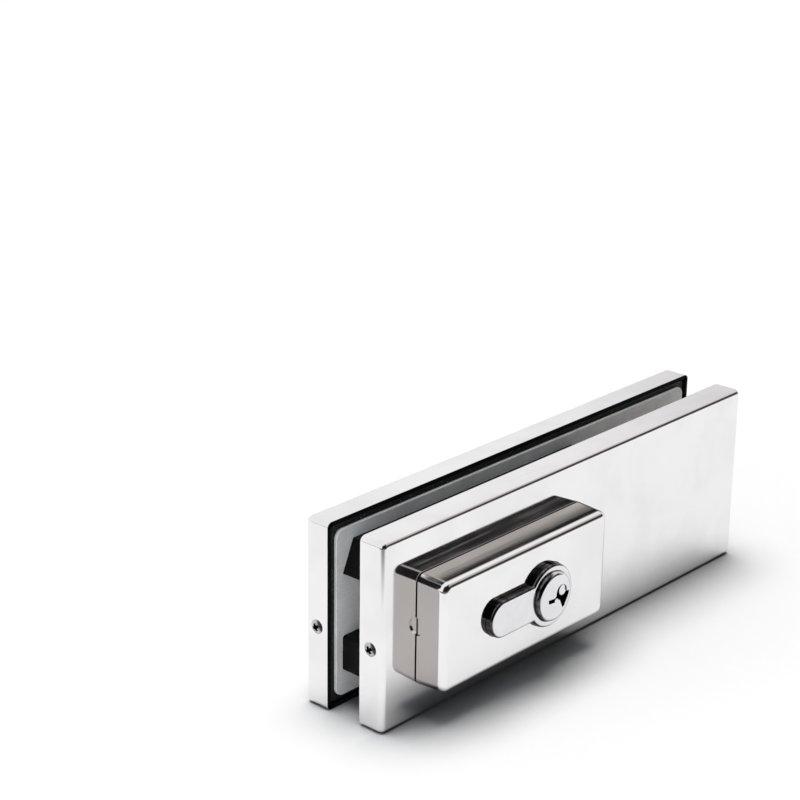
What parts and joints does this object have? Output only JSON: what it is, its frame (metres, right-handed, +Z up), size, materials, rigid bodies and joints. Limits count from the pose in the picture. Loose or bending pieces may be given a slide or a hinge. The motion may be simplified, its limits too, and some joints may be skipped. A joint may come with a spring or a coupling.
{
  "type": "glass door bottom lock",
  "caption": "Patch lock for the bottom edge of a frameless glass door: two polished covers, a profile cylinder in a raised housing and a bolt that drops into the floor.",
  "frame": {"origin": "midway along the lock, on the middle plane of the glass, level with the lock's bottom edge", "axes": "+X along the door's bottom edge with the cylinder on the -X half, -Y towards the cylinder side, +Z up"},
  "size_m": [0.1514, 0.0382, 0.051],
  "materials": {
    "polished_steel": "mirror polished stainless steel",
    "screw_steel": "plain steel",
    "cast_body": "dark die casting, slightly rough",
    "fibre": "light grey gasket sheet",
    "black_casting": "black",
    "bolt_steel": "satin",
    "spring_steel": "plain spring steel",
    "nickel_brass": "nickel plated, polished",
    "sintered_steel": "sintered",
    "pin_brass": "turned"
  },
  "bodies": {
    "lock_frame": {"front_cover": "polished_steel", "back_cover": "polished_steel", "cylinder_housing": "polished_steel", "cover_screws": "screw_steel", "clamp_screws": "screw_steel", "housing_screws": "screw_steel", "lid_screws": "screw_steel", "forend_screws": "screw_steel", "cylinder_fixing_screw": "screw_steel", "front_body": "cast_body", "back_body": "cast_body", "front_gasket": "fibre", "back_gasket": "fibre", "lock_case": "black_casting", "case_lid": "black_casting", "forend": "bolt_steel", "drag_strip": "spring_steel", "cylinder_body": "nickel_brass", "driver_pins": "pin_brass", "pin_caps": "pin_brass", "pin_springs": "spring_steel"},
    "plug_and_cam": {"key_plug": "nickel_brass", "cylinder_cam": "sintered_steel", "plug_clip": "spring_steel", "key_pins": "pin_brass"},
    "bolt_bar": {"bolt": "bolt_steel"}
  },
  "joints": [
    {"name": "key_turn", "type": "hinge", "parent": "lock_frame", "child": "plug_and_cam", "pos_m": [-0.0234, 0, 0.0236], "axis": [0, 1, 0], "range_deg": [0, 90]},
    {"name": "bolt_slide", "type": "slide", "parent": "lock_frame", "child": "bolt_bar", "axis": [0, 0, -1], "range_m": [0, 0.01697]}
  ],
  "couplings": [
    {"joint": "bolt_slide", "follows": "key_turn", "m_per_rad": 0.010803}
  ]
}
